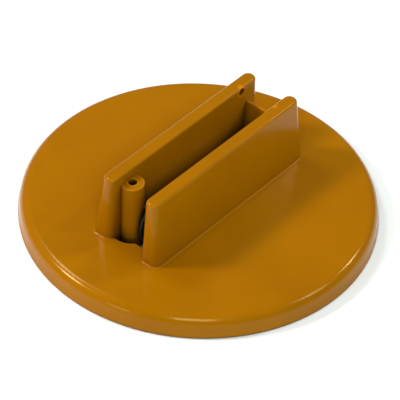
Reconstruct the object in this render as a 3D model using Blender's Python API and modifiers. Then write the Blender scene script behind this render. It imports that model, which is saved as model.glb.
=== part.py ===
"""Round insulated ice fishing tip-up, folded for carrying.

The orange cover closes the ice hole. Two tall walls on it form a channel that is open at the top,
at the near end (-X) and through the disc. A reel shaft is pinned across the channel and lies in it;
in use it swings down through the slot into the water, with the line spool on its side. A trip rod
inside the shaft turns the trigger bar at its top. The flag staff lies in hooks on the front wall
and plugs into the round post when the tip-up is set.

Metres, +Z up, +X along the channel. The origin is the disc's centre on the surface it stands on.
"""
import math

import bmesh
import bpy
from mathutils import Matrix, Vector

# ---- Driving dimensions -------------------------------------------------------------------------
GAP = 0.0003                # clearance between pieces that touch
SKIN = 0.0026               # moulded wall thickness
EPS = 0.0001                # merge distance

LIP_RADIUS = 0.150          # cover, at the surface it stands on
SHOULDER_RADIUS = 0.1485    # cover, where the side meets the rounded shoulder
SHOULDER_ROUND = 0.009
PLATE_TOP = 0.0195          # height of the disc's top face
PLATE = 0.003

WALL_TOP = 0.080            # height of the channel walls above the ice
WALL_INNER = 0.0163         # inner face from the centre plane
WALL_OUTER = 0.0280         # outer face at the top
WALL_NEAR = -0.0900         # near end at the top
WALL_FAR = 0.0915           # far end at the top
SIDE_DRAFT = 0.0065         # how far the outer face leans out at the foot
NEAR_DRAFT = 0.0035         # the same for the near end
FAR_DRAFT = 0.0030          # and for the far end
WALL_END_ROUND = 0.0056
FOOT_FILLET = 0.0020
TOP_ROUND = 0.0022

SLOT_HALF = 0.0162          # slot through the disc, inside the channel
SLOT_NEAR = -0.0810
SLOT_FAR = 0.0770
SLOT_CORNER = 0.0040
WELL_RADIUS = 0.0170        # the slot widens round the post's foot
LINER_BOTTOM = 0.0063
WEB_TOP = 0.0620            # web that closes the far end of the channel

POST = Vector((-0.0705, 0.0123, 0.0700))    # centre of the post's top
POST_RADIUS = 0.0100
SOCKET_RADIUS = 0.0038
SOCKET_DEPTH = 0.0240

PEG_HOLE = Vector((0.0704, 0.0, 0.0753))    # round holes in the walls' inner faces
PEG_HOLE_RADIUS = 0.0036

PAN_RADIUS = 0.1430
PAN_BOTTOM = 0.0040
PAN_TOP = 0.0060
FOAM_RADIUS = 0.1380
SCREW_COUNT = 6
SCREW_CIRCLE = 0.1180
SCREW_RADIUS = 0.0013
SCREW_HEAD_RADIUS = 0.0034
SCREW_LENGTH = 0.0085
BOSS_RADIUS = 0.0042

PIVOT = Vector((0.0500, 0.0, 0.0255))       # fold axis, along Y
PIN_RADIUS = 0.0025
PIN_HALF = 0.0203
SPACER_RADIUS = 0.0045

SHAFT_NEAR = -0.0595
SHAFT_FAR = 0.0700
SHAFT_FRONT = 0.0
SHAFT_BACK = 0.0090
SHAFT_BOTTOM = 0.0205
SHAFT_TOP = 0.0365
ROD = Vector((0.0, 0.0045, 0.0325))         # trip rod's axis, along X
ROD_RADIUS = 0.0013
CRANK_X = -0.0240
CRANK_REACH = 0.0085
TRIGGER_X = 0.0726
TRIGGER_HALF = 0.0085

AXLE = Vector((-0.0520, 0.0, 0.0285))       # spool axis, along Y
AXLE_RADIUS = 0.00175
SPOOL_RADIUS = 0.0250
SPOOL_HUB = 0.0090
SPOOL_FRONT = -0.0140
SPOOL_BACK = -0.0014
FLANGE = 0.0018
LINE_RADIUS = 0.0205
DRAG_WASHER = 0.0007        # thickness of the washer under the drag nut
DRAG_NUT = 0.0030

STAFF = Vector((0.0, -0.0118, 0.0620))      # stowed flag staff's axis, along X
STAFF_RADIUS = 0.0010
STAFF_TIP_X = 0.0660
FERRULE_RADIUS = 0.0035
FERRULE_NEAR = -0.0700
FERRULE_LENGTH = 0.0200
CLOTH_NEAR = -0.0460
CLOTH_LENGTH = 0.0420
CLOTH_RADIUS = 0.0040
HOOK_STATIONS = (0.0060, 0.0480)
HOOK_WIDTH = 0.0050

# ---- Scene --------------------------------------------------------------------------------------
for old in list(bpy.data.objects):
    bpy.data.objects.remove(old, do_unlink=True)


def make_collection(name):
    collection = bpy.data.collections.new(name)
    bpy.context.scene.collection.children.link(collection)
    return collection


PARTS = make_collection("ice_fishing_tip_up")
CUTTERS = make_collection("cutters")


def make_material(name, colour, roughness, metallic=0.0):
    material = bpy.data.materials.new(name)
    material.use_nodes = True
    shader = material.node_tree.nodes["Principled BSDF"]
    shader.inputs["Base Color"].default_value = (*colour, 1.0)
    shader.inputs["Roughness"].default_value = roughness
    shader.inputs["Metallic"].default_value = metallic
    return material


ORANGE = make_material("orange_plastic", (0.450, 0.155, 0.004), 0.25)
BLACK = make_material("black_plastic", (0.018, 0.018, 0.020), 0.45)
FOAM = make_material("grey_foam", (0.230, 0.240, 0.250), 0.95)
STEEL = make_material("steel", (0.560, 0.570, 0.580), 0.30, 1.0)
BRASS = make_material("brass", (0.600, 0.420, 0.160), 0.30, 1.0)
LINE = make_material("braided_line", (0.020, 0.110, 0.060), 0.70)
CLOTH = make_material("flag_cloth", (0.650, 0.060, 0.010), 0.80)


def add_object(name, mesh, collection, material=None):
    obj = bpy.data.objects.new(name, mesh)
    collection.objects.link(obj)
    if material:
        mesh.materials.append(material)
    if collection is CUTTERS:
        obj.hide_render = True
        obj.display_type = "WIRE"
    return obj


def finish_bmesh(bm, name, collection, material):
    bmesh.ops.recalc_face_normals(bm, faces=bm.faces)
    mesh = bpy.data.meshes.new(name)
    bm.to_mesh(mesh)
    bm.free()
    return add_object(name, mesh, collection, material)


def shade(obj, degrees=30):
    obj.data.shade_smooth()
    obj.data.set_sharp_from_angle(angle=math.radians(degrees))
    return obj


# ---- Shape helpers ------------------------------------------------------------------------------
def box(name, low, high, collection=CUTTERS, material=None):
    """Box between two corners, its origin at its centre."""
    low, high = Vector(low), Vector(high)
    bm = bmesh.new()
    bmesh.ops.create_cube(bm, size=1.0)
    bmesh.ops.scale(bm, vec=high - low, verts=bm.verts)
    obj = finish_bmesh(bm, name, collection, material)
    obj.location = (low + high) / 2
    return obj


AXIS_TURN = {
    "X": Matrix.Rotation(math.radians(90), 4, "Y"),
    "Y": Matrix.Rotation(math.radians(-90), 4, "X"),
    "Z": Matrix.Identity(4),
}


def rod(name, radius, start, end, axis, segments=24, collection=CUTTERS, material=None):
    """Cylinder from start to end, which differ only along the named axis."""
    start, end = Vector(start), Vector(end)
    bm = bmesh.new()
    bmesh.ops.create_cone(bm, cap_ends=True, segments=segments, radius1=radius, radius2=radius,
                          depth=(end - start).length, matrix=AXIS_TURN[axis])
    obj = finish_bmesh(bm, name, collection, material)
    obj.location = (start + end) / 2
    return obj


def turned(name, profile, steps, axis, centre, material, collection=PARTS):
    """Turned piece: profile is (radius, height along the axis), down the outside and round."""
    mesh = bpy.data.meshes.new(name)
    count = len(profile)
    closed = profile[0][0] > EPS
    edges = [(i, (i + 1) % count) for i in range(count if closed else count - 1)]
    mesh.from_pydata([(r, 0.0, h) for r, h in profile], edges, [])
    obj = add_object(name, mesh, collection, material)
    screw = obj.modifiers.new("turn", "SCREW")
    screw.axis = "Z"
    screw.steps = steps
    screw.render_steps = steps
    screw.use_merge_vertices = True
    screw.merge_threshold = EPS / 10
    screw.use_smooth_shade = True
    obj.matrix_world = Matrix.Translation(centre) @ AXIS_TURN[axis]
    return obj


def tube_profile(inner, outer, low, high):
    return [(outer, high), (outer, low), (inner, low), (inner, high)]


def pin_profile(radius, low, high, chamfer):
    return [(0.0, high), (radius - chamfer, high), (radius, high - chamfer),
            (radius, low + chamfer), (radius - chamfer, low), (0.0, low)]


def rounded_rectangle(low_x, high_x, low_y, high_y, radius, corner_steps=5):
    """Points round a rectangle with round corners, anticlockwise from above."""
    radius = min(radius, (high_x - low_x) / 2, (high_y - low_y) / 2)
    centres = [(high_x - radius, high_y - radius), (low_x + radius, high_y - radius),
               (low_x + radius, low_y + radius), (high_x - radius, low_y + radius)]
    points = []
    for corner, (cx, cy) in enumerate(centres):
        for step in range(corner_steps + 1):
            angle = math.pi / 2 * (corner + step / corner_steps)
            points.append((cx + radius * math.cos(angle), cy + radius * math.sin(angle)))
    return points


def loft(name, sections, collection=CUTTERS, material=None):
    """Closed solid through level outlines with equal point counts; sections are (height, points)."""
    bm = bmesh.new()
    rings = [[bm.verts.new((x, y, z)) for x, y in points] for z, points in sections]
    count = len(rings[0])
    for lower, upper in zip(rings, rings[1:]):
        for i in range(count):
            j = (i + 1) % count
            bm.faces.new((lower[i], lower[j], upper[j], upper[i]))
    bm.faces.new(list(reversed(rings[0])))
    bm.faces.new(rings[-1])
    return finish_bmesh(bm, name, collection, material)


def boolean(target, tool, operation):
    modifier = target.modifiers.new(tool.name, "BOOLEAN")
    modifier.operation = operation
    modifier.object = tool
    modifier.solver = "EXACT"


def cut(target, *tools):
    for tool in tools:
        boolean(target, tool, "DIFFERENCE")


def join(target, *tools):
    for tool in tools:
        boolean(target, tool, "UNION")


def round_edges(obj, width, segments=2, angle=40):
    bevel = obj.modifiers.new("round", "BEVEL")
    bevel.width = width
    bevel.segments = segments
    bevel.limit_method = "ANGLE"
    bevel.angle_limit = math.radians(angle)
    return obj


def wire(name, points, radius, material, resolution=2):
    """Bent wire with closed ends, through the points."""
    curve = bpy.data.curves.new(name, "CURVE")
    curve.dimensions = "3D"
    curve.bevel_depth = radius
    curve.bevel_resolution = resolution
    curve.use_fill_caps = True
    spline = curve.splines.new("POLY")
    spline.points.add(len(points) - 1)
    for point, place in zip(spline.points, points):
        point.co = (*place, 1.0)
    obj = bpy.data.objects.new(name, curve)
    PARTS.objects.link(obj)
    curve.materials.append(material)
    return obj


def screw_places():
    """Screws stand on a circle, clear of the channel walls."""
    for index in range(SCREW_COUNT):
        angle = math.radians(90 + 360 / SCREW_COUNT * index)
        yield index + 1, SCREW_CIRCLE * math.cos(angle), SCREW_CIRCLE * math.sin(angle)


# ---- Cover --------------------------------------------------------------------------------------
def cover_profile():
    """Half section of the disc: top plate, rounded shoulder, side and lip, then back inside."""
    lip_height = 0.0030
    steps = 6
    centre_radius = SHOULDER_RADIUS - SHOULDER_ROUND
    centre_height = PLATE_TOP - SHOULDER_ROUND
    turns = [math.radians(90 - 90 * step / steps) for step in range(steps + 1)]
    points = [(0.0, PLATE_TOP)]
    points += [(centre_radius + SHOULDER_ROUND * math.cos(a),
                centre_height + SHOULDER_ROUND * math.sin(a)) for a in turns]
    points += [(LIP_RADIUS, lip_height), (LIP_RADIUS, 0.0), (LIP_RADIUS - PLATE, 0.0),
               (LIP_RADIUS - PLATE, lip_height)]
    inner_round = SHOULDER_ROUND - PLATE
    points += [(centre_radius + inner_round * math.cos(a),
                centre_height + inner_round * math.sin(a)) for a in reversed(turns[::2])]
    points.append((0.0, PLATE_TOP - PLATE))
    return points


def wall_outline(rise, flare, inset):
    """Level section of the back wall at a share of its height; flare widens it, inset shrinks it."""
    drop = 1 - rise
    return rounded_rectangle(WALL_NEAR - NEAR_DRAFT * drop - flare + inset,
                             WALL_FAR + FAR_DRAFT * drop + flare - inset,
                             WALL_INNER + inset,
                             WALL_OUTER + SIDE_DRAFT * drop + flare - inset, WALL_END_ROUND)


def wall_sections():
    """Outer form of a wall: filleted foot, drafted sides, rounded top."""
    height = WALL_TOP - PLATE_TOP
    sections = [(PLATE_TOP - PLATE / 2, wall_outline(0.0, FOOT_FILLET, 0.0))]
    for share in (0.0, 0.3, 1.0):
        level = EPS + FOOT_FILLET * share
        flare = FOOT_FILLET * (1 - math.sqrt(1 - (1 - share) ** 2))
        sections.append((PLATE_TOP + level, wall_outline(level / height, flare, 0.0)))
    for step in range(4):
        angle = math.radians(30 * step)
        drop = TOP_ROUND * (1 - math.sin(angle))
        sections.append((WALL_TOP - drop,
                         wall_outline(1 - drop / height, 0.0, TOP_ROUND * (1 - math.cos(angle)))))
    return sections


def cavity_sections():
    """Hollow of a wall, open underneath."""
    sections = []
    for height, drop in ((PLATE_TOP - PLATE - 0.001, 1.0), (WALL_TOP - SKIN, 0.0)):
        near = WALL_NEAR - NEAR_DRAFT * drop + SKIN
        far = WALL_FAR + FAR_DRAFT * drop - SKIN
        outer = WALL_OUTER + SIDE_DRAFT * drop - SKIN
        sections.append((height, rounded_rectangle(near, far, WALL_INNER + SKIN, outer, 0.003, 3)))
    return sections


def mirrored(sections):
    """The same outlines on the other side of the centre plane."""
    return [(height, [(x, -y) for x, y in reversed(points)]) for height, points in sections]


def arc(centre_x, centre_y, radius, start, end, steps):
    """Points of an arc, angles in radians."""
    angles = [start + (end - start) * step / steps for step in range(steps + 1)]
    return [(centre_x + radius * math.cos(a), centre_y + radius * math.sin(a)) for a in angles]


def slot_outline(grow):
    """The slot from above, with the round well beside the post, made larger by grow."""
    half, near, far = SLOT_HALF + grow, SLOT_NEAR - grow, SLOT_FAR + grow
    corner, well = SLOT_CORNER + grow, WELL_RADIUS + grow
    well_start = math.pi - math.asin((half - POST.y) / well)
    well_end = 2 * math.pi - math.acos((near - POST.x) / well)
    return (arc(far - corner, half - corner, corner, 0.0, math.pi / 2, 5)
            + arc(POST.x, POST.y, well, well_start, well_end, 10)
            + arc(near + corner, corner - half, corner, math.pi, math.pi * 1.5, 5)
            + arc(far - corner, corner - half, corner, math.pi * 1.5, math.pi * 2, 5))


def slot_prism(name, low, high, grow):
    """Upright cutter on the slot's outline."""
    outline = slot_outline(grow)
    return loft(name, [(low, outline), (high, outline)])


def post_foot():
    """Lower end of the post, inside the slot: flat at the back, where it joins the liner."""
    outline = [(x, min(y, SLOT_HALF + SKIN / 2))
               for x, y in arc(POST.x, POST.y, POST_RADIUS, 0.0, math.pi * 2 * 31 / 32, 31)]
    return loft("post_foot_form", [(LINER_BOTTOM, outline), (PLATE_TOP, outline)])


def make_cover():
    cover = turned("cover_shell", cover_profile(), 72, "Z", Vector(), ORANGE)
    join(cover, loft("wall_form_back", wall_sections()),
         loft("wall_form_front", mirrored(wall_sections())),
         slot_prism("liner_form", LINER_BOTTOM, PLATE_TOP - PLATE / 2, SKIN))
    cut(cover, slot_prism("slot_cut", -0.005, WALL_TOP + 0.005, 0.0),
        loft("wall_hollow_back", cavity_sections()),
        loft("wall_hollow_front", mirrored(cavity_sections())))
    off_liner, into_wall = EPS / 2, SKIN / 5
    web = box("web_form", (SLOT_FAR + off_liner, -WALL_INNER - into_wall, PLATE_TOP - PLATE / 2),
              (SLOT_FAR + SKIN - off_liner, WALL_INNER + into_wall, WEB_TOP))
    post = rod("post_form", POST_RADIUS, (POST.x, POST.y, PLATE_TOP - PLATE / 2), POST, "Z", 32)
    join(cover, web, post, post_foot())
    socket_floor = (POST.x, POST.y, POST.z - SOCKET_DEPTH)
    cut(cover, rod("socket_cut", SOCKET_RADIUS, socket_floor, POST + Vector((0, 0, 0.005)), "Z"))
    past_inner, past_skin = WALL_INNER - 0.002, WALL_INNER + SKIN + 0.0015
    for side, name in ((1, "back"), (-1, "front")):
        cut(cover,
            rod("peg_hole_cut_" + name, PEG_HOLE_RADIUS, (PEG_HOLE.x, side * past_inner, PEG_HOLE.z),
                (PEG_HOLE.x, side * past_skin, PEG_HOLE.z), "Y"),
            rod("pin_cut_" + name, PIN_RADIUS + GAP, (PIVOT.x, side * past_inner, PIVOT.z),
                (PIVOT.x, side * past_skin, PIVOT.z), "Y"))
    for number, x, y in screw_places():
        join(cover, rod(f"boss_form_{number}", BOSS_RADIUS, (x, y, LINER_BOTTOM),
                        (x, y, PLATE_TOP - PLATE / 2), "Z", 16))
        cut(cover, rod(f"boss_cut_{number}", SCREW_RADIUS + GAP, (x, y, 0.005),
                       (x, y, PAN_BOTTOM + SCREW_LENGTH + 0.001), "Z", 12))
    return cover


def make_foam():
    top = PLATE_TOP - PLATE - GAP
    foam = rod("insulation_foam", FOAM_RADIUS, (0, 0, LINER_BOTTOM), (0, 0, top), "Z", 64,
               PARTS, FOAM)
    cut(foam, slot_prism("foam_slot_cut", 0.0, 0.030, SKIN + GAP))
    for number, x, y in screw_places():
        cut(foam, rod(f"foam_boss_cut_{number}", BOSS_RADIUS + GAP, (x, y, 0.0), (x, y, 0.030),
                      "Z", 16))


def make_pan():
    pan = rod("bottom_pan", PAN_RADIUS, (0, 0, PAN_BOTTOM), (0, 0, PAN_TOP), "Z", 64, PARTS, BLACK)
    opening = rounded_rectangle(SLOT_NEAR, SLOT_FAR, -SLOT_HALF, SLOT_HALF, SLOT_CORNER)
    cut(pan, loft("pan_slot_cut", [(0.0, opening), (0.020, opening)]))
    for number, x, y in screw_places():
        cut(pan, rod(f"pan_hole_cut_{number}", SCREW_RADIUS + GAP, (x, y, 0.0), (x, y, 0.020),
                     "Z", 12))
        head_top = PAN_BOTTOM - GAP
        profile = [(0.0, PAN_BOTTOM + SCREW_LENGTH), (SCREW_RADIUS, PAN_BOTTOM + SCREW_LENGTH),
                   (SCREW_RADIUS, head_top), (SCREW_HEAD_RADIUS, head_top),
                   (SCREW_HEAD_RADIUS - 0.0004, head_top - 0.0012),
                   (SCREW_HEAD_RADIUS - 0.0016, head_top - 0.0018), (0.0, head_top - 0.0018)]
        turned(f"pan_screw_{number}", profile, 12, "Z", (x, y, 0.0), STEEL)


# ---- Shaft --------------------------------------------------------------------------------------
def make_pivot():
    axis = (PIVOT.x, 0.0, PIVOT.z)
    turned("pivot_pin", pin_profile(PIN_RADIUS, -PIN_HALF, PIN_HALF, 0.0004), 24, "Y", axis, STEEL)
    ring_low = WALL_INNER + SKIN + GAP
    hole = PIN_RADIUS + GAP
    turned("pivot_ring_back", tube_profile(hole, 0.0050, ring_low, ring_low + 0.0008),
           20, "Y", axis, STEEL)
    turned("pivot_ring_front", tube_profile(hole, 0.0050, -ring_low - 0.0008, -ring_low),
           20, "Y", axis, STEEL)
    turned("pivot_spacer_front", tube_profile(hole, SPACER_RADIUS, -WALL_INNER + GAP,
                                              SHAFT_FRONT - GAP), 24, "Y", axis, BLACK)
    turned("pivot_spacer_back", tube_profile(hole, SPACER_RADIUS, SHAFT_BACK + GAP,
                                             WALL_INNER - GAP), 24, "Y", axis, BLACK)


def make_shaft():
    shaft = box("reel_shaft", (SHAFT_NEAR, SHAFT_FRONT, SHAFT_BOTTOM),
                (SHAFT_FAR, SHAFT_BACK, SHAFT_TOP), PARTS, BLACK)
    round_edges(shaft, 0.0012)
    bush_seat = SHAFT_FAR - 0.0050
    cut(shaft,
        rod("rod_bore_cut", ROD_RADIUS + 0.0004, (CRANK_X - 0.003, ROD.y, ROD.z),
            (SHAFT_FAR + 0.005, ROD.y, ROD.z), "X", 16),
        rod("bush_seat_cut", 0.0030, (bush_seat, ROD.y, ROD.z),
            (SHAFT_FAR + 0.005, ROD.y, ROD.z), "X", 20),
        box("crank_window_cut", (CRANK_X - 0.0045, SHAFT_FRONT - 0.002, ROD.z - 0.0055),
            (CRANK_X + 0.0045, ROD.y + 0.0025, SHAFT_TOP + 0.002)),
        box("pocket_cut", (-0.0120, SHAFT_FRONT - 0.002, SHAFT_BOTTOM + 0.0022),
            (0.0380, SHAFT_FRONT + 0.0016, SHAFT_BOTTOM + 0.0080)),
        rod("pivot_hole_cut", PIN_RADIUS + GAP, (PIVOT.x, -0.005, PIVOT.z),
            (PIVOT.x, 0.020, PIVOT.z), "Y"),
        rod("axle_hole_cut", AXLE_RADIUS + GAP, (AXLE.x, -0.005, AXLE.z),
            (AXLE.x, 0.020, AXLE.z), "Y", 16))
    turned("rod_bush", tube_profile(ROD_RADIUS + GAP, 0.0027, bush_seat + GAP, SHAFT_FAR - GAP),
           20, "X", (0.0, ROD.y, ROD.z), BRASS)


def make_trip():
    """Rod with its lower end bent into a crank, and the bar that holds the flag down."""
    bend = 0.0020
    wire("trip_rod", [(TRIGGER_X + 0.0014, ROD.y, ROD.z), (0.02, ROD.y, ROD.z),
                      (CRANK_X + bend, ROD.y, ROD.z),
                      (CRANK_X + bend * 0.3, ROD.y - bend * 0.3, ROD.z),
                      (CRANK_X, ROD.y - bend, ROD.z), (CRANK_X, ROD.y - CRANK_REACH, ROD.z)],
         ROD_RADIUS, STEEL)
    bar = box("trigger_bar", (TRIGGER_X - 0.0020, ROD.y - TRIGGER_HALF, ROD.z - 0.0026),
              (TRIGGER_X + 0.0020, ROD.y + TRIGGER_HALF, ROD.z + 0.0026), PARTS, BLACK)
    round_edges(bar, 0.0008)
    cut(bar, rod("trigger_bore_cut", ROD_RADIUS + GAP, (TRIGGER_X - 0.005, ROD.y, ROD.z),
                 (TRIGGER_X + 0.005, ROD.y, ROD.z), "X", 16))


# ---- Spool --------------------------------------------------------------------------------------
def make_spool():
    axis = (AXLE.x, 0.0, AXLE.z)
    bore = AXLE_RADIUS + GAP
    inner_back, inner_front = SPOOL_BACK - FLANGE, SPOOL_FRONT + FLANGE
    profile = [(SPOOL_RADIUS, SPOOL_BACK), (SPOOL_RADIUS, inner_back), (SPOOL_HUB, inner_back),
               (SPOOL_HUB, inner_front), (SPOOL_RADIUS, inner_front), (SPOOL_RADIUS, SPOOL_FRONT),
               (bore, SPOOL_FRONT), (bore, SPOOL_BACK)]
    spool = turned("spool", profile, 40, "Y", axis, BLACK)
    for side, name in ((1, "upper"), (-1, "lower")):
        low, high = sorted((side * (SPOOL_RADIUS - 0.001), side * (SPOOL_RADIUS + 0.0009)))
        join(spool, box("trip_lug_form_" + name,
                        (AXLE.x - 0.0015, inner_back + EPS, AXLE.z + low),
                        (AXLE.x + 0.0015, SPOOL_BACK - EPS, AXLE.z + high)))
    turned("line_winding", tube_profile(SPOOL_HUB + GAP, LINE_RADIUS, inner_front + GAP,
                                        inner_back - GAP), 32, "Y", axis, LINE)
    head, head_face = 0.0035, SPOOL_FRONT - GAP
    nut_low = SHAFT_BACK + DRAG_WASHER + 2 * GAP
    nut_high = nut_low + DRAG_NUT
    end = nut_high + 0.0006
    turned("spool_axle", [(0.0, end), (AXLE_RADIUS, end), (AXLE_RADIUS, head_face),
                          (head, head_face), (head - 0.0004, head_face - 0.0016),
                          (0.0, head_face - 0.0016)], 16, "Y", axis, STEEL)
    turned("axle_washer", tube_profile(bore, 0.0045, SPOOL_BACK + GAP, SHAFT_FRONT - GAP),
           20, "Y", axis, STEEL)
    turned("drag_washer", tube_profile(bore, 0.0052, SHAFT_BACK + GAP, nut_low - GAP),
           20, "Y", axis, BRASS)
    make_drag_nut(nut_low, nut_high)


def make_drag_nut(low, high):
    """Thumb nut with a scalloped grip."""
    lobes, count = 8, 48
    outline = []
    for index in range(count):
        angle = 2 * math.pi * index / count
        radius = 0.0060 + 0.0005 * math.cos(lobes * angle)
        outline.append((radius * math.cos(angle), radius * math.sin(angle)))
    nut = loft("drag_nut", [(low, outline), (high, outline)], PARTS, BRASS)
    nut.matrix_world = Matrix.Translation((AXLE.x, 0.0, AXLE.z)) @ AXIS_TURN["Y"]
    cut(nut, rod("drag_nut_cut", AXLE_RADIUS + GAP, (AXLE.x, low - 0.002, AXLE.z),
                 (AXLE.x, high + 0.002, AXLE.z), "Y", 16))


# ---- Flag ---------------------------------------------------------------------------------------
def make_flag():
    """Staff stowed along the front wall, with its plug and the cloth rolled round it."""
    axis = (0.0, STAFF.y, STAFF.z)
    far = FERRULE_NEAR + FERRULE_LENGTH
    bore, floor = STAFF_RADIUS + GAP, far - 0.0080
    turned("flag_ferrule", [(0.0, floor), (bore, floor), (bore, far), (FERRULE_RADIUS - 0.0006, far),
                            (FERRULE_RADIUS, far - 0.0006), (FERRULE_RADIUS, FERRULE_NEAR + 0.0020),
                            (FERRULE_RADIUS - 0.0010, FERRULE_NEAR), (0.0, FERRULE_NEAR)],
           24, "X", axis, BLACK)
    hook = 0.0030
    wire("flag_staff", [(floor + GAP, STAFF.y, STAFF.z), (0.0, STAFF.y, STAFF.z),
                        (STAFF_TIP_X - hook, STAFF.y, STAFF.z),
                        (STAFF_TIP_X - hook * 0.3, STAFF.y + hook * 0.3, STAFF.z),
                        (STAFF_TIP_X, STAFF.y + hook, STAFF.z),
                        (STAFF_TIP_X, STAFF.y + hook * 2.2, STAFF.z)], STAFF_RADIUS, STEEL)
    turned("flag_cloth", tube_profile(bore, CLOTH_RADIUS, CLOTH_NEAR, CLOTH_NEAR + CLOTH_LENGTH),
           24, "X", axis, CLOTH)


def hook_outline():
    """U that is open at the top, with a foot that reaches the wall."""
    inner, outer, arm, foot = 0.0014, 0.0028, 0.0022, 0.0015
    wall = -WALL_INNER + GAP - STAFF.y
    points = [(inner, arm)]
    points += [(inner * math.cos(a), -inner * math.sin(a))
               for a in (math.pi * step / 8 for step in range(9))]
    points += [(-inner, arm), (-outer, arm), (-outer, foot), (wall, foot), (wall, -foot)]
    start = math.asin(foot / outer)
    points += [(-outer * math.cos(a), -outer * math.sin(a))
               for a in (start + (math.pi - start) * step / 8 for step in range(9))]
    points.append((outer, arm))
    return points


def make_staff_hooks():
    along_x = Matrix(((0, 0, 1, 0), (1, 0, 0, 0), (0, 1, 0, 0), (0, 0, 0, 1)))
    for name, station in zip(("near", "far"), HOOK_STATIONS):
        curve = bpy.data.curves.new("staff_hook_" + name, "CURVE")
        curve.dimensions = "2D"
        curve.fill_mode = "BOTH"
        curve.extrude = HOOK_WIDTH / 2
        spline = curve.splines.new("POLY")
        outline = hook_outline()
        spline.points.add(len(outline) - 1)
        for point, (y, z) in zip(spline.points, outline):
            point.co = (y, z, 0.0, 1.0)
        spline.use_cyclic_u = True
        curve.materials.append(BLACK)
        hook = bpy.data.objects.new("staff_hook_" + name, curve)
        PARTS.objects.link(hook)
        hook.matrix_world = Matrix.Translation((station, STAFF.y, STAFF.z)) @ along_x


# ---- Joint axes ---------------------------------------------------------------------------------
def make_axes():
    """Empties on the joint axes, each the parent of the pieces that move on it."""
    axes = {
        "shaft_fold_axis": (PIVOT, ("reel_shaft", "rod_bush", "spool_axle", "axle_washer",
                                    "drag_washer"), None),
        "spool_axis": (AXLE, ("spool", "line_winding"), "shaft_fold_axis"),
        "drag_axis": (AXLE, ("drag_nut",), "shaft_fold_axis"),
        "trip_axis": (ROD, ("trip_rod", "trigger_bar"), "shaft_fold_axis"),
        "flag_axis": (STAFF, ("flag_ferrule", "flag_staff", "flag_cloth"), None),
    }
    for name, (place, pieces, parent) in axes.items():
        empty = bpy.data.objects.new(name, None)
        PARTS.objects.link(empty)
        empty.empty_display_size = 0.01
        empty.location = place
        bpy.context.view_layer.update()
        if parent:
            keep_place(empty, bpy.data.objects[parent])
        for piece in pieces:
            keep_place(bpy.data.objects[piece], empty)


def keep_place(child, parent):
    """Parent the child without moving it."""
    bpy.context.view_layer.update()
    child.parent = parent
    child.matrix_parent_inverse = parent.matrix_world.inverted()


make_cover()
make_foam()
make_pan()
make_pivot()
make_shaft()
make_trip()
make_spool()
make_flag()
make_staff_hooks()
make_axes()
for part in PARTS.objects:
    if part.type == "MESH":
        shade(part)
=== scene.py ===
"""Looks of the ice fishing tip-up: refined pieces, materials, floor, lights and camera.

Everything is in metres in the CAD frame: +Z up, +X along the channel, the post at the near end
(-X) against the back wall (+Y).
"""
import math

import bmesh
import bpy
from mathutils import Matrix, Vector


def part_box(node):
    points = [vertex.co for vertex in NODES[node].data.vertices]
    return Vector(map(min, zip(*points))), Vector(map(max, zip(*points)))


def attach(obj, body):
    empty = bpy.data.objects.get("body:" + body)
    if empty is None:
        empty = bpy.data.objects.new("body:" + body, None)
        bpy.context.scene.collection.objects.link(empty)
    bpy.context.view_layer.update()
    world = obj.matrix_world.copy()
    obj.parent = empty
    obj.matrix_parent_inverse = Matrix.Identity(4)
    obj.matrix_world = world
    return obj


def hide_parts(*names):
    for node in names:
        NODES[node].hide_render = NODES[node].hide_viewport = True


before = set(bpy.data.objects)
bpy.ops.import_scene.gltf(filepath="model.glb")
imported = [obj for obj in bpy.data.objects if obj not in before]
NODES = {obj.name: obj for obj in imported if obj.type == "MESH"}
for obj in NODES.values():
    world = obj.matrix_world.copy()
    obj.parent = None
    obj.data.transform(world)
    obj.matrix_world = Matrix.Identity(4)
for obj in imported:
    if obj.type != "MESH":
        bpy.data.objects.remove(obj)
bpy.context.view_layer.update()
EPS = 1e-6


# ---- Materials ----------------------------------------------------------------------------------
OCCLUSION_SAMPLES = 12


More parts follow.
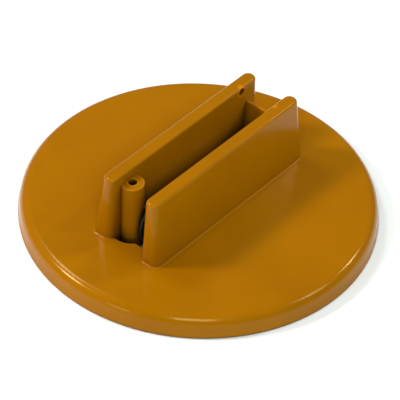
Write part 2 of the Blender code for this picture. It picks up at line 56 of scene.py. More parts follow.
class Finish:
    """A Principled material with procedural colour, roughness and relief."""

    def __init__(self, name, colour, roughness, metallic=0.0, **sockets):
        self.material = bpy.data.materials.new(name)
        self.material.use_nodes = True
        self.tree = self.material.node_tree
        self.shader = self.tree.nodes["Principled BSDF"]
        self.shader.inputs["Base Color"].default_value = (*colour, 1.0)
        self.shader.inputs["Roughness"].default_value = roughness
        self.shader.inputs["Metallic"].default_value = metallic
        for socket, value in sockets.items():
            self.shader.inputs[socket.replace("_", " ")].default_value = value
        self.place = self.tree.nodes.new("ShaderNodeTexCoord").outputs["Object"]
        self.relief_end = None

    def stretched(self, scale):
        """Object coordinates scaled per axis, for marks that run one way."""
        node = self.tree.nodes.new("ShaderNodeMapping")
        node.inputs["Scale"].default_value = scale
        self.tree.links.new(self.place, node.inputs["Vector"])
        return node.outputs["Vector"]

    def noise(self, scale, detail=3.0, rough=0.55, place=None):
        node = self.tree.nodes.new("ShaderNodeTexNoise")
        node.inputs["Scale"].default_value = scale
        node.inputs["Detail"].default_value = detail
        node.inputs["Roughness"].default_value = rough
        self.tree.links.new(place or self.place, node.inputs["Vector"])
        return node.outputs["Fac"]

    def ramp(self, value, stops):
        node = self.tree.nodes.new("ShaderNodeValToRGB")
        ramp = node.color_ramp
        while len(ramp.elements) < len(stops):
            ramp.elements.new(0.5)
        for element, (position, colour) in zip(ramp.elements, stops):
            element.position = position
            element.color = (*colour, 1.0)
        self.tree.links.new(value, node.inputs["Fac"])
        return node.outputs["Color"]

    def span(self, value, low, high, start=0.3, end=0.7):
        """The value's stretch from start to end, spread over low to high."""
        node = self.tree.nodes.new("ShaderNodeMapRange")
        node.inputs["From Min"].default_value = start
        node.inputs["From Max"].default_value = end
        node.inputs["To Min"].default_value = low
        node.inputs["To Max"].default_value = high
        self.tree.links.new(value, node.inputs["Value"])
        return node.outputs["Result"]

    def colour(self, value, stops):
        self.tree.links.new(self.ramp(value, stops), self.shader.inputs["Base Color"])
        return self

    def occlusion(self, reach, inside=False):
        """Share of open space within reach of the surface, or of solid material if inside."""
        node = self.tree.nodes.new("ShaderNodeAmbientOcclusion")
        node.inside = inside
        node.samples = OCCLUSION_SAMPLES
        node.inputs["Distance"].default_value = reach
        return node.outputs["AO"]

    def combined(self, operation, first, second):
        """Two values put through one step of maths."""
        node = self.tree.nodes.new("ShaderNodeMath")
        node.operation = operation
        self.tree.links.new(first, node.inputs[0])
        self.tree.links.new(second, node.inputs[1])
        return node.outputs["Value"]

    def mixed_in(self, blend_type="MIX"):
        """A mix node put between the colour so far and the shader."""
        mix = self.tree.nodes.new("ShaderNodeMix")
        mix.data_type = "RGBA"
        mix.blend_type = blend_type
        colour = self.shader.inputs["Base Color"]
        self.tree.links.new(colour.links[0].from_socket, mix.inputs["A"])
        self.tree.links.new(mix.outputs["Result"], colour)
        return mix

    def painted_crevice_shade(self, reach, deepest_shade, start=0.15, end=0.72):
        """Darkens the colour in corners and gaps as painted shade, and dulls the surface there
        with more roughness.
        """
        openness = self.occlusion(reach)
        # painted shade: the colour is multiplied down where little open space lies within reach
        mix = self.mixed_in("MULTIPLY")
        mix.inputs["Factor"].default_value = 1.0
        self.tree.links.new(self.span(openness, deepest_shade, 1.0, start, end), mix.inputs["B"])
        roughness = self.shader.inputs["Roughness"]
        duller = self.combined("ADD", roughness.links[0].from_socket,
                               self.span(openness, 0.9, 0.0, start, end))
        self.tree.links.new(duller, roughness)
        return self

    def edges(self, reach, highlight_colour):
        """Lightens the colour along outer edges, in patches, as a painted highlight."""
        near_edge = self.span(self.occlusion(reach, inside=True), 1.0, 0.0, 0.55, 0.95)
        patchy = self.span(self.noise(90.0, 4.0), 0.55, 1.0)
        # painted highlight: a lighter orange mixed in near outer edges
        mix = self.mixed_in()
        mix.inputs["B"].default_value = (*highlight_colour, 1.0)
        self.tree.links.new(self.combined("MULTIPLY", near_edge, patchy), mix.inputs["Factor"])
        return self

    def rough(self, value, low, high):
        self.tree.links.new(self.span(value, low, high), self.shader.inputs["Roughness"])
        return self

    def relief(self, value, strength, distance):
        """Adds one layer of bump over the ones before it."""
        node = self.tree.nodes.new("ShaderNodeBump")
        node.inputs["Strength"].default_value = strength
        node.inputs["Distance"].default_value = distance
        self.tree.links.new(value, node.inputs["Height"])
        if self.relief_end:
            self.tree.links.new(self.relief_end, node.inputs["Normal"])
        self.relief_end = node.outputs["Normal"]
        self.tree.links.new(self.relief_end, self.shader.inputs["Normal"])
        return self

    def waves(self, scale, direction, distortion=0.0):
        node = self.tree.nodes.new("ShaderNodeTexWave")
        node.bands_direction = direction
        node.inputs["Scale"].default_value = scale
        node.inputs["Distortion"].default_value = distortion
        self.tree.links.new(self.place, node.inputs["Vector"])
        return node.outputs["Fac"]


def make_orange():
    finish = Finish("amber_plastic", (0.33, 0.120, 0.0), 0.20, Specular_IOR_Level=0.23,
                    Specular_Tint=(1.0, 0.68, 0.32, 1.0))
    finish.colour(finish.noise(9.0, 4.0), [(0.30, (0.280, 0.101, 0.0)),
                                           (0.50, (0.312, 0.115, 0.0)),
                                           (0.72, (0.340, 0.125, 0.0))])
    # painted highlight: lighter orange along the outer edges
    finish.edges(0.0020, (0.560, 0.185, 0.0))
    finish.rough(finish.noise(60.0, 5.0), 0.12, 0.20)
    # painted shade in corners and gaps, then a longer-reaching painted shade deep in the channel
    finish.painted_crevice_shade(0.015, 0.15)
    finish.painted_crevice_shade(0.045, 0.08, 0.02, 0.28)
    finish.relief(finish.noise(38.0, 2.0), 0.10, 0.0006)
    finish.relief(finish.noise(2600.0, 2.0), 0.10, 0.00005)
    return finish.material


def make_black(name, tone, roughness, grain=1500.0):
    finish = Finish(name, (tone, tone, tone * 1.05), roughness, Specular_IOR_Level=0.30)
    finish.colour(finish.noise(40.0, 4.0), [(0.3, (tone * 0.8, tone * 0.8, tone * 0.85)),
                                            (0.7, (tone * 1.3, tone * 1.3, tone * 1.35))])
    finish.rough(finish.noise(220.0, 4.0), roughness - 0.08, roughness + 0.10)
    finish.relief(finish.noise(grain, 3.0), 0.35, 0.0001)
    return finish.material


def make_foam():
    finish = Finish("grey_foam", (0.20, 0.21, 0.22), 0.9)
    cells = finish.tree.nodes.new("ShaderNodeTexVoronoi")
    cells.inputs["Scale"].default_value = 900.0
    finish.tree.links.new(finish.place, cells.inputs["Vector"])
    finish.colour(cells.outputs["Distance"], [(0.0, (0.13, 0.14, 0.15)),
                                              (0.6, (0.25, 0.26, 0.27))])
    finish.relief(cells.outputs["Distance"], 0.6, 0.0005)
    return finish.material


def make_metal(name, dark, light, roughness):
    finish = Finish(name, light, roughness, 1.0)
    brushed = finish.noise(1.0, 4.0, place=finish.stretched((40.0, 40.0, 900.0)))
    finish.colour(finish.noise(120.0, 4.0), [(0.3, dark), (0.65, light)])
    finish.rough(brushed, roughness - 0.07, roughness + 0.12)
    finish.relief(brushed, 0.15, 0.00005)
    return finish.material


def make_line():
    finish = Finish("braided_line", (0.02, 0.10, 0.055), 0.6, Sheen_Weight=0.15)
    finish.colour(finish.noise(1.0, 5.0, place=finish.stretched((500.0, 1200.0, 500.0))),
                  [(0.3, (0.010, 0.055, 0.030)), (0.7, (0.035, 0.150, 0.085))])
    finish.relief(finish.waves(900.0, "DIAGONAL", 1.0), 0.5, 0.0001)
    return finish.material


def make_cloth():
    finish = Finish("flag_fabric", (0.62, 0.05, 0.01), 0.75, Sheen_Weight=0.3,
                    Sheen_Roughness=0.4)
    finish.colour(finish.noise(70.0, 4.0), [(0.3, (0.50, 0.035, 0.008)),
                                            (0.7, (0.70, 0.065, 0.012))])
    for direction in ("X", "Z"):         # warp and weft
        finish.relief(finish.waves(1100.0, direction), 0.25, 0.00008)
    return finish.material


ORANGE = make_orange()
BLACK = make_black("black_plastic", 0.014, 0.42)
PAN_BLACK = make_black("textured_black_plastic", 0.016, 0.55, 900.0)
FOAM = make_foam()
STEEL = make_metal("steel", (0.42, 0.43, 0.44), (0.62, 0.63, 0.64), 0.28)
ZINC = make_metal("zinc_steel", (0.46, 0.47, 0.46), (0.66, 0.67, 0.66), 0.36)
BRASS = make_metal("brass", (0.50, 0.33, 0.10), (0.74, 0.54, 0.22), 0.27)
LINE = make_line()
CLOTH = make_cloth()


# ---- Mesh helpers -------------------------------------------------------------------------------
def link(name, mesh):
    obj = bpy.data.objects.new(name, mesh)
    bpy.context.scene.collection.objects.link(obj)
    return obj


def from_bmesh(name, bm):
    bmesh.ops.recalc_face_normals(bm, faces=bm.faces)
    mesh = bpy.data.meshes.new(name)
    bm.to_mesh(mesh)
    bm.free()
    return link(name, mesh)


def bridge(bm, rings):
    """Skins the gap between each ring of vertices and the next; a ring may be a single point."""
    for lower, upper in zip(rings, rings[1:]):
        count = max(len(lower), len(upper))
        for i in range(count):
            j = (i + 1) % count
            corners = (lower[i % len(lower)], lower[j % len(lower)],
                       upper[j % len(upper)], upper[i % len(upper)])
            bm.faces.new(list(dict.fromkeys(corners)))


AXIS_TURN = {"X": Matrix.Rotation(math.radians(90), 4, "Y"),
             "Y": Matrix.Rotation(math.radians(-90), 4, "X"),
             "Z": Matrix.Identity(4)}


def lathe(name, profile, segments, axis="Z", centre=(0.0, 0.0, 0.0)):
    """Turned solid; profile is (radius, height) pairs, closed if it starts off the axis."""
    bm = bmesh.new()
    rings = []
    for radius, height in profile:
        if radius < EPS:
            rings.append([bm.verts.new((0.0, 0.0, height))])
            continue
        turns = (2 * math.pi * i / segments for i in range(segments))
        rings.append([bm.verts.new((radius * math.cos(a), radius * math.sin(a), height))
                      for a in turns])
    if profile[0][0] > EPS:
        rings.append(rings[0])
    bridge(bm, rings)
    bmesh.ops.transform(bm, matrix=Matrix.Translation(centre) @ AXIS_TURN[axis], verts=bm.verts)
    return from_bmesh(name, bm)


def rod(name, radius, start, end, axis, segments=32):
    """Round bar between two points on a line along the axis."""
    low, high = Vector(start), Vector(end)
    index = "XYZ".index(axis)
    centre = Vector(start)
    centre[index] = 0.0
    return lathe(name, [(0.0, high[index]), (radius, high[index]), (radius, low[index]),
                        (0.0, low[index])], segments, axis, centre)


def box(name, low, high):
    low, high = Vector(low), Vector(high)
    bm = bmesh.new()
    bmesh.ops.create_cube(bm, size=1.0)
    bmesh.ops.scale(bm, vec=high - low, verts=bm.verts)
    bmesh.ops.translate(bm, vec=(low + high) / 2, verts=bm.verts)
    return from_bmesh(name, bm)


def rounded_rectangle(low_x, high_x, low_y, high_y, radius, corner_steps=10):
    """Outline with round corners; the radius shrinks where the sides are too short for it."""
    radius = min(radius, (high_x - low_x) / 2 - EPS, (high_y - low_y) / 2 - EPS)
    centres = [(high_x - radius, high_y - radius), (low_x + radius, high_y - radius),
               (low_x + radius, low_y + radius), (high_x - radius, low_y + radius)]
    points = []
    for corner, (cx, cy) in enumerate(centres):
        for step in range(corner_steps + 1):
            angle = math.pi / 2 * (corner + step / corner_steps)
            points.append((cx + radius * math.cos(angle), cy + radius * math.sin(angle)))
    return points


def loft(name, sections):
    """Closed solid through level outlines of one point count; sections are (height, points)."""
    bm = bmesh.new()
    rings = [[bm.verts.new((x, y, z)) for x, y in points] for z, points in sections]
    bridge(bm, rings)
    bm.faces.new(list(reversed(rings[0])))
    bm.faces.new(rings[-1])
    return from_bmesh(name, bm)


def combine(base, operation, *tools):
    """Joins or cuts with the tools, which are used up."""
    for tool in tools:
        modifier = base.modifiers.new(tool.name, "BOOLEAN")
        modifier.operation = operation
        modifier.object = tool
        modifier.solver = "EXACT"
    bake(base)
    for tool in tools:
        bpy.data.objects.remove(tool, do_unlink=True)


def bake(obj):
    """Turns the modifiers into plain mesh."""
    depsgraph = bpy.context.evaluated_depsgraph_get()
    mesh = bpy.data.meshes.new_from_object(obj.evaluated_get(depsgraph))
    obj.modifiers.clear()
    obj.data = mesh
    return obj


def bevel(obj, width, segments=2, angle=35.0):
    modifier = obj.modifiers.new("edge_round", "BEVEL")
    modifier.width = width
    modifier.segments = segments
    modifier.limit_method = "ANGLE"
    modifier.angle_limit = math.radians(angle)
    return obj


def finish_piece(obj, material, slot, body, *replaced, sharp=32.0):
    """Gives the piece its material and shading, and says what it rides on and replaces."""
    obj.data.materials.clear()
    obj.data.materials.append(material)
    obj.data.shade_smooth()
    obj.data.set_sharp_from_angle(angle=math.radians(sharp))
    weighted = obj.modifiers.new("normals", "WEIGHTED_NORMAL")
    weighted.keep_sharp = True
    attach(obj, body)
    if replaced:
        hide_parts(*replaced)


def tube(name, points, radius, sides=16):
    """Round wire through the points, with domed ends."""
    curve = bpy.data.curves.new(name, "CURVE")
    curve.dimensions = "3D"
    curve.bevel_depth = radius
    curve.bevel_resolution = sides // 4
    curve.use_fill_caps = True
    spline = curve.splines.new("POLY")
    spline.points.add(len(points) - 1)
    for point, place in zip(spline.points, points):
        point.co = (*place, 1.0)
    obj = bpy.data.objects.new(name, curve)
    bpy.context.scene.collection.objects.link(obj)
    depsgraph = bpy.context.evaluated_depsgraph_get()
    mesh = bpy.data.meshes.new_from_object(obj.evaluated_get(depsgraph))
    bpy.data.objects.remove(obj, do_unlink=True)
    return link(name, mesh)


def arc(centre, start, end, steps, radius):
    """Points of an arc in the plane (first, second), angles in degrees."""
    angles = (math.radians(start + (end - start) * i / steps) for i in range(steps + 1))
    return [(centre[0] + radius * math.cos(a), centre[1] + radius * math.sin(a)) for a in angles]


# ---- Cover --------------------------------------------------------------------------------------
_, (_, _, WALL_TOP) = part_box("cover_shell")
SKIN = 0.0026                        # thickness of the walls' and the slot's plastic
PLATE_TOP, PLATE = 0.0195, 0.003
WALL_INNER, WALL_OUTER = 0.0163, 0.0280
WALL_NEAR, WALL_FAR = -0.0900, 0.0915
SIDE_DRAFT, NEAR_DRAFT, FAR_DRAFT = 0.0065, 0.0035, 0.0030
END_ROUND, FOOT_FILLET, TOP_ROUND = 0.0056, 0.0012, 0.0022
SLOT_HALF, SLOT_NEAR, SLOT_FAR = 0.0162, -0.0810, 0.0770
SLOT_CORNER, LINER_BOTTOM, WELL_RADIUS = 0.0040, 0.0063, 0.0170
WEB_TOP = 0.0620
POST, POST_RADIUS = Vector((-0.0705, 0.0123, 0.0700)), 0.0100
SOCKET_RADIUS, SOCKET_DEPTH = 0.0038, 0.0240
PEG_X, PEG_Z, PEG_RADIUS = 0.0704, 0.0753, 0.0036
PIVOT_X, PIVOT_Z, PIN_HOLE = 0.0500, 0.0255, 0.0028


def disc_profile():
    """Section of the disc: top, shoulder, sloping side, lip and the hollow under them."""
    shoulder, side, rim, edge, lip = 0.0090, 0.1485, 0.1500, 0.0018, 0.0030
    centre = (side - shoulder, PLATE_TOP - shoulder)
    slope = [(rim - 0.0010, 0.0065), (rim - 0.0003, 0.0040), (rim, lip)]
    return ([(0.0, PLATE_TOP)] + arc(centre, 90, 0, 14, shoulder) + slope
            + arc((rim - edge, edge), 0, -90, 6, edge)
            + [(rim - 0.0028, 0.0), (rim - 0.0030, lip)]
            + arc(centre, 0, 90, 8, shoulder - PLATE) + [(0.0, PLATE_TOP - PLATE)])


def wall_outline(rise, flare, inset):
    """The back wall's outline at a share of its height; flare widens it, inset narrows it."""
    drop = 1 - rise
    return rounded_rectangle(WALL_NEAR - NEAR_DRAFT * drop - flare + inset,
                             WALL_FAR + FAR_DRAFT * drop + flare - inset,
                             WALL_INNER + inset,
                             WALL_OUTER + SIDE_DRAFT * drop + flare - inset, END_ROUND)


def wall_sections():
    """The back wall's outlines from its filleted foot to its rounded top."""
    height = WALL_TOP - PLATE_TOP
    foot_steps, side_steps, top_steps = 6, 6, 7
    sections = [(PLATE_TOP - PLATE / 2, wall_outline(0.0, FOOT_FILLET, 0.0))]
    for step in range(foot_steps + 1):
        share = step / foot_steps
        level = EPS * 100 + FOOT_FILLET * share
        flare = FOOT_FILLET * (1 - math.sqrt(1 - (1 - share) ** 2))
        sections.append((PLATE_TOP + level, wall_outline(level / height, flare, 0.0)))
    for step in range(1, side_steps):
        share = step / side_steps
        sections.append((PLATE_TOP + height * share, wall_outline(share, 0.0, 0.0)))
    for step in range(top_steps + 1):
        angle = math.radians(90 * step / top_steps)
        drop = TOP_ROUND * (1 - math.sin(angle))
        sections.append((WALL_TOP - drop, wall_outline(1 - drop / height, 0.0,
                                                       TOP_ROUND * (1 - math.cos(angle)))))
    return sections


def cavity_sections():
    """The hollow inside the back wall, open into the disc."""
    below_plate, corner = 0.001, 0.003
    return [(height, rounded_rectangle(
        WALL_NEAR - NEAR_DRAFT * drop + SKIN, WALL_FAR + FAR_DRAFT * drop - SKIN,
        WALL_INNER + SKIN, WALL_OUTER + SIDE_DRAFT * drop - SKIN, corner))
        for height, drop in ((PLATE_TOP - PLATE - below_plate, 1.0), (WALL_TOP - SKIN, 0.0))]


def mirrored(sections):
    """The same outlines for the front wall."""
    return [(height, [(x, -y) for x, y in reversed(points)]) for height, points in sections]


def slot_outline(near_grow, side_grow):
    """The slot from above with the round well beside the post.

    near_grow widens the well and its end of the slot, side_grow the long sides and the far end.
    """
    half, corner, well = SLOT_HALF + side_grow, SLOT_CORNER, WELL_RADIUS + near_grow
    near, far = SLOT_NEAR - near_grow, SLOT_FAR + side_grow
    well_start = 180 - math.degrees(math.asin((half - POST.y) / well))
    well_end = 360 - math.degrees(math.acos((near - POST.x) / well))
    return (arc((far - corner, half - corner), 0, 90, 10, corner)
            + arc((POST.x, POST.y), well_start, well_end, 28, well)
            + arc((near + corner, corner - half), 180, 270, 10, corner)
            + arc((far - corner, corner - half), 270, 360, 10, corner))


def slot_cutter():
    """The slot, with a rounded lip round its near end between the walls' feet."""
    lip, lip_steps, past = 0.0014, 8, 0.005
    sections = [(-past, slot_outline(0.0, 0.0)), (PLATE_TOP - lip, slot_outline(0.0, 0.0))]
    for step in range(1, lip_steps + 1):
        angle = math.radians(90 * step / lip_steps)
        sections.append((PLATE_TOP - lip * (1 - math.sin(angle)),
                         slot_outline(lip * (1 - math.cos(angle)), 0.0)))
    sections.append((WALL_TOP + past, sections[-1][1]))
    return loft("slot_cut", sections)


def post_profile():
    """Section of the post above the disc, with its top edge rounded."""
    edge = 0.0009
    return ([(0.0, POST.z)] + arc((POST_RADIUS - edge, POST.z - edge), 90, 0, 6, edge)
            + [(POST_RADIUS, PLATE_TOP - PLATE / 2), (0.0, PLATE_TOP - PLATE / 2)])


def post_foot():
    """The post's lower end, which goes down into the slot and stops at the back wall's skin."""
    sides = 64
    outline = [(x, min(y, SLOT_HALF + SKIN / 2)) for x, y in
               arc((POST.x, POST.y), 0, 360 * (sides - 1) / sides, sides - 1, POST_RADIUS)]
    return loft("post_foot", [(LINER_BOTTOM, outline), (PLATE_TOP, outline)])


def make_cover():
    """The orange moulding in one piece: disc, walls, slot, web and post with its socket."""
    in_plate, overlap, gap = PLATE_TOP - PLATE / 2, 0.0005, 0.00005
    cover = lathe("cover_visual", disc_profile(), 192)
    liner = slot_outline(SKIN, SKIN)
    combine(cover, "UNION", loft("wall_back", wall_sections()),
            loft("wall_front", mirrored(wall_sections())),
            loft("liner", [(LINER_BOTTOM, liner), (in_plate, liner)]))
    combine(cover, "DIFFERENCE", slot_cutter(), loft("hollow_back", cavity_sections()),
            loft("hollow_front", mirrored(cavity_sections())))
    web = box("web", (SLOT_FAR + gap, -WALL_INNER - overlap, in_plate),
              (SLOT_FAR + SKIN - gap, WALL_INNER + overlap, WEB_TOP))
    bake(bevel(web, 0.0006, 3))
    post = lathe("post", post_profile(), 64, "Z", (POST.x, POST.y, 0.0))
    combine(cover, "UNION", web, post, post_foot())
    cutters = [rod("socket", SOCKET_RADIUS, (POST.x, POST.y, POST.z - SOCKET_DEPTH),
                   (POST.x, POST.y, POST.z + 0.004), "Z", 48)]
    for side in (1, -1):
        low, high = sorted((side * (WALL_INNER - 0.002), side * (WALL_INNER + SKIN + 0.0015)))
        for name, radius, x, z, segments in (("peg", PEG_RADIUS, PEG_X, PEG_Z, 36),
                                             ("pin", PIN_HOLE, PIVOT_X, PIVOT_Z, 28)):
            cutters.append(rod(f"{name}_{side}", radius, (x, low, z), (x, high, z), "Y", segments))
    combine(cover, "DIFFERENCE", *cutters)
    finish_piece(cover, ORANGE, "orange_plastic", "cover", "cover_shell", sharp=34.0)


make_cover()


# ---- Underside ----------------------------------------------------------------------------------
SCREWS = [f"pan_screw_{number}" for number in range(1, 7)]


def merge(base, other):
    """Adds the other mesh to the base mesh as it is, and uses it up."""
    bm = bmesh.new()
    bm.from_mesh(base.data)
    bm.from_mesh(other.data)
    bm.to_mesh(base.data)
    bm.free()
    bpy.data.objects.remove(other, do_unlink=True)


def middle(node):
    low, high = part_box(node)
    return [(a + b) / 2 for a, b in zip(low, high)]


def make_pan_ribs():
    """Stiffening rings and spokes moulded under the pan, and a collar round each screw."""
    low, high = 0.0031, 0.0042
    inner, outer, spokes = 0.0915, 0.1345, 24
    half_low, half_high = 0.0007, 0.0010         # half a rib's width at its edge and at its foot
    bm = bmesh.new()

    def level(turn, start, end, half, height):
        """A spoke's four corners at one height."""
        c, q = math.cos(turn), math.sin(turn)
        return [bm.verts.new((c * r - q * w, q * r + c * w, height)) for r, w in
                ((start, -half), (end, -half), (end, half), (start, half))]

    for index in range(spokes):
        turn = 2 * math.pi * (index + 0.5) / spokes
        rings = [level(turn, inner + half_high, outer - half_high, half_low, low),
                 level(turn, inner + half_high / 2, outer - half_high / 2, half_high, high)]
        bridge(bm, rings)
        bm.faces.new(list(reversed(rings[0])))
        bm.faces.new(rings[1])
    ribs = from_bmesh("pan_ribs", bm)
    for radius in (inner, outer):
        merge(ribs, lathe("ring", [(radius + half_low, low), (radius - half_low, low),
                                   (radius - half_high, high), (radius + half_high, high)], 160))
    for node in SCREWS:
        x, y, _ = middle(node)
        merge(ribs, lathe("collar", [(0.0052, low), (0.0040, low), (0.0038, high),
                                     (0.0056, high)], 40, "Z", (x, y, 0.0)))
    finish_piece(ribs, PAN_BLACK, "black_plastic", "cover")


def make_screws():
    """Pan-head screws with a cross recess."""
    head, head_top, rim, shank, tip = 0.0034, 0.0037, 0.0003, 0.0013, 0.0008
    arm, blade, recess = 0.0018, 0.0004, 0.0011
    for number, node in enumerate(SCREWS, 1):
        x, y, _ = middle(node)
        (_, _, low), (_, _, high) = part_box(node)
        crown = head_top - rim
        dome = [(0.0, low)] + [(head * math.sin(a), crown - (crown - low) * math.cos(a))
                               for a in (math.radians(10 * i) for i in range(1, 10))]
        stem = [(head, head_top), (shank, head_top), (shank, high - tip), (0.0, high)]
        screw = lathe(f"screw_{number}", dome + stem, 36, "Z", (x, y, 0.0))
        cross = [box("recess", (x - a, y - b, low - 0.001), (x + a, y + b, low + recess))
                 for a, b in ((arm, blade), (blade, arm))]
        combine(screw, "DIFFERENCE", *cross)
        finish_piece(screw, ZINC, "zinc_steel", "cover", node)


# ---- Reel shaft and spool -----------------------------------------------------------------------
AXLE_X, AXLE_Z, AXLE_BORE = -0.0520, 0.0285, 0.00205
TRIP_Y, TRIP_Z = 0.0045, 0.0325      # the trip rod's axis


def ring(bm, radius, height, count):
    """Vertices round the axle at a height along it; radius is a number or a function of angle."""
    angles = [2 * math.pi * index / count for index in range(count)]
    radii = [radius(angle) if callable(radius) else radius for angle in angles]
    return [bm.verts.new((AXLE_X + r * math.cos(a), height, AXLE_Z + r * math.sin(a)))
            for r, a in zip(radii, angles)]


def make_shaft():
    """Moulded bar with ribbed pockets on both faces and grip grooves at the spool."""
    low, high = (Vector(corner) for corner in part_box("reel_shaft"))
    past, outside = 0.002, 0.080
    shaft = bake(bevel(box("shaft_visual", low, high), 0.0012, 4))
    cutters = [rod("rod_bore", 0.0017, (-0.0270, TRIP_Y, TRIP_Z), (outside, TRIP_Y, TRIP_Z), "X"),
               rod("bush_seat", 0.0030, (high.x - 0.0050, TRIP_Y, TRIP_Z),
                   (outside, TRIP_Y, TRIP_Z), "X"),
               box("crank_window", (-0.0285, low.y - past, TRIP_Z - 0.0055),
                   (-0.0195, TRIP_Y + 0.0025, high.z + past))]
    for name, radius, x, z in (("pivot_hole", PIN_HOLE, PIVOT_X, PIVOT_Z),
                               ("axle_hole", AXLE_BORE, AXLE_X, AXLE_Z)):
        cutters.append(rod(name, radius, (x, -0.005, z), (x, 0.020, z), "Y"))
    pocket_depth, pocket_length, pocket_top = 0.0014, 0.0118, 0.0296
    for index in range(4):
        start = -0.0150 + index * 0.0140
        for y_low, y_high in ((low.y - past, low.y + pocket_depth),
                              (high.y - pocket_depth, high.y + past)):
            cutters.append(box("pocket", (start, y_low, low.z + 0.0022),
                               (start + pocket_length, y_high, pocket_top)))
    grip_depth, grip_width, grip_margin = 0.0008, 0.0022, 0.003
    for index in range(3):
        start = -0.0430 + index * 0.0045
        cutters.append(box("grip", (start, high.y - grip_depth, low.z + grip_margin),
                           (start + grip_width, high.y + past, high.z - grip_margin)))
    combine(shaft, "DIFFERENCE", *cutters)
    finish_piece(bevel(shaft, 0.00025, 2, 50.0), BLACK, "black_plastic", "shaft", "reel_shaft")


def make_spool():
    """Spool with rounded flanges, six round windows in them and two trip lugs on the rim."""
    (_, front, _), (_, back, _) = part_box("spool")
    radius, hub, flange, rim, fillet = 0.0250, 0.0090, 0.0018, 0.0005, 0.0008
    inner_back, inner_front = back - flange, front + flange
    front_dish, back_dish = 0.0005, 0.0004       # how deep the flanges' faces are dished
    profile = (arc((radius - rim, back - rim), 90, 0, 4, rim)
               + arc((radius - rim, inner_back + rim), 0, -90, 4, rim)
               + [(hub + fillet, inner_back), (hub, inner_back - fillet),
                  (hub, inner_front + fillet), (hub + fillet, inner_front)]
               + arc((radius - rim, inner_front - rim), 90, 0, 4, rim)
               + arc((radius - rim, front + rim), 0, -90, 4, rim)
               + [(0.0225, front), (0.0218, front + front_dish), (0.0080, front + front_dish),
                  (0.0072, front), (AXLE_BORE, front), (AXLE_BORE, back),
                  (0.0060, back), (0.0066, back - back_dish), (0.0218, back - back_dish),
                  (0.0225, back)])
    spool = lathe("spool_visual", profile, 128, "Y", (AXLE_X, 0.0, AXLE_Z))
    windows = []
    window_ring, window_radius, past = 0.0150, 0.0036, 0.002
    for index in range(6):
        turn = math.radians(60 * index + 30)
        x, z = AXLE_X + window_ring * math.cos(turn), AXLE_Z + window_ring * math.sin(turn)
        windows.append(rod("window", window_radius, (x, front - past, z), (x, back + past, z),
                           "Y", 36))
    combine(spool, "DIFFERENCE", *windows)
    lug_half, lug_inside, lug_outside, lug_margin = 0.0015, 0.0010, 0.0009, 0.0001
    for side in (1, -1):
        low, high = sorted((side * (radius - lug_inside), side * (radius + lug_outside)))
        lug = box("lug", (AXLE_X - lug_half, inner_back + lug_margin, AXLE_Z + low),
                  (AXLE_X + lug_half, back - lug_margin, AXLE_Z + high))
        merge(spool, bake(bevel(lug, 0.0004, 2)))
    finish_piece(spool, BLACK, "black_plastic", "spool", "spool")


def make_winding():
    """Line wound in helical turns; each turn shows as a ridge, with a slightly uneven lay."""
    (_, low, _), (_, high, _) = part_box("line_winding")
    inner, outer, turns, rows, segments = 0.0093, 0.0205, 14, 112, 144
    ridge_height, unevenness, end_round, end_rows = 0.00020, 0.00010, 0.0004, 4
    pitch = (high - low) / turns
    bm = bmesh.new()
    rings = []
    for row in range(rows + 1):
        height = low + (high - low) * row / rows
        edge = min(row, rows - row) / end_rows
        round_off = end_round * max(0.0, 1 - edge) ** 2

        def radius(angle):
            phase = math.pi * ((height - low) / pitch - angle / (2 * math.pi))
            ridge = abs(math.cos(phase)) ** 0.6
            uneven = unevenness * (1 + math.sin(3 * angle + 900 * height)) / 2
            return outer - ridge_height * (1 - ridge) - uneven - round_off

        rings.append(ring(bm, radius, height, segments))
    rings += [ring(bm, inner, height, segments) for height in (high, low)]
    bridge(bm, rings + rings[:1])
    finish_piece(from_bmesh("wound_line", bm), LINE, "braided_line", "spool", "line_winding",
                 sharp=70.0)


def make_drag_nut():
    """Scalloped thumb nut with chamfered faces."""
    (_, low, _), (_, high, _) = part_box("drag_nut")
    chamfer, scallops = 0.0004, 8
    bm = bmesh.new()
    rings = [ring(bm, lambda angle: (0.0060 + 0.0005 * math.cos(scallops * angle)) * scale,
                  height, 96)
             for height, scale in ((low, 0.93), (low + chamfer, 1.0), (high - chamfer, 1.0),
                                   (high, 0.93))]
    bridge(bm, rings)
    bm.faces.new(rings[0])
    bm.faces.new(list(reversed(rings[-1])))
    nut = from_bmesh("drag_nut_visual", bm)
    combine(nut, "DIFFERENCE", rod("nut_bore", AXLE_BORE, (AXLE_X, low - 0.002, AXLE_Z),
                                   (AXLE_X, high + 0.002, AXLE_Z), "Y"))
    finish_piece(nut, BRASS, "brass", "drag", "drag_nut")


def make_trip_rod():
    """Steel rod along the shaft, with its end bent into the crank beside the spool."""
    end, crank, bend, reach = 0.0740, -0.0240, 0.0020, 0.0085
    corner = arc((crank + bend, TRIP_Y - bend), 90, 180, 6, bend)
    points = ([(end, TRIP_Y, TRIP_Z), (0.0200, TRIP_Y, TRIP_Z)]
              + [(x, y, TRIP_Z) for x, y in corner] + [(crank, TRIP_Y - reach, TRIP_Z)])
    finish_piece(tube("trip_rod_visual", points, 0.0013, 24), STEEL, "steel", "trip", "trip_rod",
                 sharp=50.0)


# ---- Flag ---------------------------------------------------------------------------------------
STAFF_Y, STAFF_Z = -0.0118, 0.0620


def make_staff():
    """Spring wire with a hooked tip."""
    (start, _, _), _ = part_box("flag_staff")
    tip, bend = 0.0660, 0.0030
    corner = arc((tip - bend, STAFF_Y + bend), -90, 0, 6, bend)
    points = ([(start, STAFF_Y, STAFF_Z), (0.0, STAFF_Y, STAFF_Z)]
              + [(x, y, STAFF_Z) for x, y in corner] + [(tip, STAFF_Y + bend * 2.2, STAFF_Z)])
    finish_piece(tube("flag_staff_visual", points, 0.0010, 20), STEEL, "steel", "flag",
                 "flag_staff", sharp=50.0)


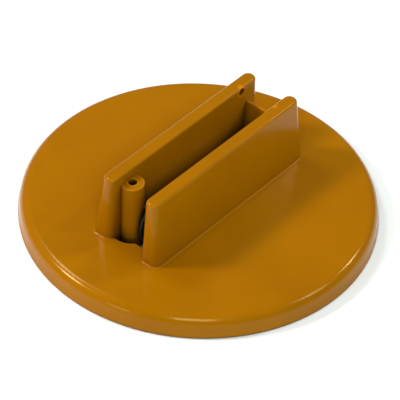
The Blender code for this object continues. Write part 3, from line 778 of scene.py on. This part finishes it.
def make_ferrule():
    """Plug on the staff's foot, with three grip grooves."""
    near, radius, length, lead_in = -0.0700, 0.0035, 0.0200, 0.0010
    depth, rim, bore, bore_depth = 0.0003, 0.0006, 0.0013, 0.0079
    profile = [(0.0, near), (radius - lead_in, near), (radius, near + 2 * lead_in)]
    for index in range(3):
        groove = near + 0.0130 + index * 0.0020
        profile += [(radius, groove), (radius - depth, groove + depth),
                    (radius - depth, groove + 0.0007), (radius, groove + 0.0010)]
    end = near + length
    profile += [(radius, end - rim), (radius - rim, end), (bore, end),
                (bore, end - bore_depth), (0.0, end - bore_depth)]
    ferrule = lathe("flag_ferrule_visual", profile, 48, "X", (0.0, STAFF_Y, STAFF_Z))
    finish_piece(ferrule, BLACK, "black_plastic", "flag", "flag_ferrule")


def make_flag_roll():
    """The flag's cloth rolled round its staff, with turns that lie a little unevenly."""
    near, width, first, last, turns, thick = -0.0454, 0.0408, 0.00150, 0.00370, 6.25, 0.00022
    per_turn, across, start_angle = 40, 40, -0.6
    sway_reach, ripple_height = 0.00035, 0.00005
    steps = int(turns * per_turn)
    bm = bmesh.new()
    rows, length, before = [], 0.0, None
    for step in range(steps + 1):
        share = step / steps
        angle = 2 * math.pi * turns * share + start_angle
        radius = first + (last - first) * share
        here = (radius * math.cos(angle), radius * math.sin(angle))
        if before:
            length += math.dist(here, before)
        before = here
        sway = sway_reach * math.sin(1.15 * angle)
        row = []
        for index in range(across + 1):
            along = index / across
            reach = radius + ripple_height * math.sin(9 * along + 1.7 * angle) * share
            x = near + width * along + sway * (2 * along - 1)
            row.append(bm.verts.new((x, STAFF_Y + reach * math.cos(angle),
                                     STAFF_Z + reach * math.sin(angle))))
        rows.append(row)
    for one, two in zip(rows, rows[1:]):
        for i in range(across):
            bm.faces.new((one[i], one[i + 1], two[i + 1], two[i]))
    roll = from_bmesh("flag_roll", bm)
    solid = roll.modifiers.new("cloth", "SOLIDIFY")
    solid.thickness = thick
    solid.offset = 0.0
    bake(roll)
    finish_piece(roll, CLOTH, "flag_fabric", "flag", "flag_cloth", sharp=60.0)


make_pan_ribs()
make_screws()
make_shaft()
make_spool()
make_winding()
make_drag_nut()
make_trip_rod()
make_staff()
make_ferrule()
make_flag_roll()

# ---- CAD pieces that keep their shape -----------------------------------------------------------
KEPT = {"insulation_foam": FOAM, "bottom_pan": PAN_BLACK, "pivot_pin": STEEL,
        "pivot_ring_front": STEEL, "pivot_ring_back": STEEL, "pivot_spacer_front": BLACK,
        "pivot_spacer_back": BLACK, "staff_hook_near": BLACK, "staff_hook_far": BLACK,
        "rod_bush": BRASS, "trigger_bar": BLACK, "spool_axle": STEEL, "axle_washer": ZINC,
        "drag_washer": BRASS}
for node, material in KEPT.items():
    for material_slot in NODES[node].material_slots:
        material_slot.material = material

# ---- Floor, lights and camera -------------------------------------------------------------------
FLOOR_HALF, FLOOR_THICKNESS = 6.0, 0.02
floor = box("floor", (-FLOOR_HALF, -FLOOR_HALF, -FLOOR_THICKNESS), (FLOOR_HALF, FLOOR_HALF, 0.0))
paper = Finish("floor_paper", (0.94, 0.94, 0.94), 0.75)
paper.relief(paper.noise(300.0, 3.0), 0.03, 0.0002)
floor.data.materials.append(paper.material)

world = bpy.data.worlds.new("studio")
world.use_nodes = True
backdrop = world.node_tree.nodes["Background"]
backdrop.inputs["Color"].default_value = (1.0, 1.0, 1.0, 1.0)
backdrop.inputs["Strength"].default_value = 0.16
bpy.context.scene.world = world
bpy.context.scene.view_settings.view_transform = "Standard"


LIT_POINT = Vector((0.0, 0.0, 0.03))
WARM, COOL = (1.0, 0.88, 0.78), (0.86, 1.0, 1.0)


def softbox(name, place, size, power, colour):
    """Area lamp aimed at the middle of the object."""
    light = bpy.data.lights.new(name, "AREA")
    light.shape = "RECTANGLE"
    light.size, light.size_y = size
    light.energy = power
    light.color = colour
    obj = bpy.data.objects.new(name, light)
    bpy.context.scene.collection.objects.link(obj)
    obj.location = place
    obj.rotation_euler = (LIT_POINT - Vector(place)).to_track_quat("-Z", "Y").to_euler()


softbox("key", (-0.75, 0.86, 1.10), (0.28, 0.28), 16.0, WARM)
softbox("back", (0.02, 0.83, 1.25), (0.40, 0.25), 5.5, COOL)
softbox("front_right", (0.57, -0.98, 1.13), (0.35, 0.35), 6.5, COOL)
softbox("right", (1.08, -0.50, 1.05), (0.18, 0.18), 6.5, WARM)
softbox("left", (-1.35, 0.05, 0.42), (0.30, 0.30), 2.4, WARM)
softbox("front_left", (-0.88, -0.71, 1.13), (0.50, 0.50), 11.8, COOL)

ELEVATION, AZIMUTH, ROLL = math.radians(42.26), math.radians(-51.46), math.radians(2.84)
DISTANCE, LENS = 1.8190, 198.0
TARGET = Vector((0.0, 0.0, 0.020))
SIDEWAYS, DOWN = 0.0004, 0.0065      # where the frame's centre lies from the target


def make_camera():
    """Camera at the chosen angle and roll, looking along -back at the target."""
    back = Vector((math.sin(AZIMUTH) * math.cos(ELEVATION),
                   -math.cos(AZIMUTH) * math.cos(ELEVATION), math.sin(ELEVATION)))
    level = Vector((math.cos(AZIMUTH), math.sin(AZIMUTH), 0.0))
    upright = back.cross(level)
    right = level * math.cos(ROLL) + upright * math.sin(ROLL)
    up = upright * math.cos(ROLL) - level * math.sin(ROLL)
    data = bpy.data.cameras.new("camera")
    data.lens = LENS
    data.sensor_width = 36.0
    data.clip_end = 20.0
    camera = bpy.data.objects.new("camera", data)
    bpy.context.scene.collection.objects.link(camera)
    place = TARGET + back * DISTANCE + right * SIDEWAYS - up * DOWN
    turn = Matrix((right, up, back)).transposed().to_4x4()
    camera.matrix_world = Matrix.Translation(place) @ turn
    bpy.context.scene.camera = camera


make_camera()
